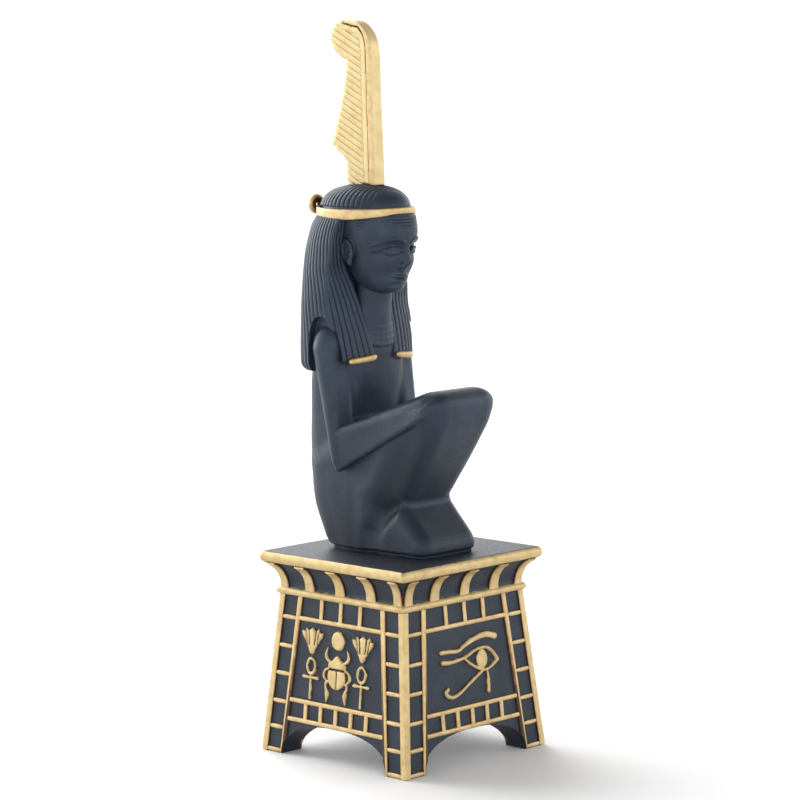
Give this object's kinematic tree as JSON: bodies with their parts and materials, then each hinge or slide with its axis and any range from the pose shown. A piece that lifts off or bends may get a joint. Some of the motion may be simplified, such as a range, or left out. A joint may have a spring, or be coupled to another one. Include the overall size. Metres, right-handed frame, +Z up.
{
  "type": "goddess statue with a feather crown",
  "caption": "Table-top figure of a squatting goddess in a long wig with a tall feather on her head, on a battered pedestal with barred panels, a flared cornice and arched feet.",
  "frame": {"origin": "centre of the pedestal's underside, level with the soles of its four feet", "axes": "+Z up; the goddess faces -Y and her right side is -X"},
  "size_m": [0.0708, 0.0718, 0.2545],
  "materials": {
    "black_paint": "satin black paint on cast resin, with the raised mouldings picked out in pale gold",
    "gold_paint": "pale gold paint with a soft sheen on cast resin"
  },
  "bodies": {
    "root": {"pedestal": "black_paint", "figure": "black_paint", "feather": "gold_paint"}
  },
  "joints": []
}
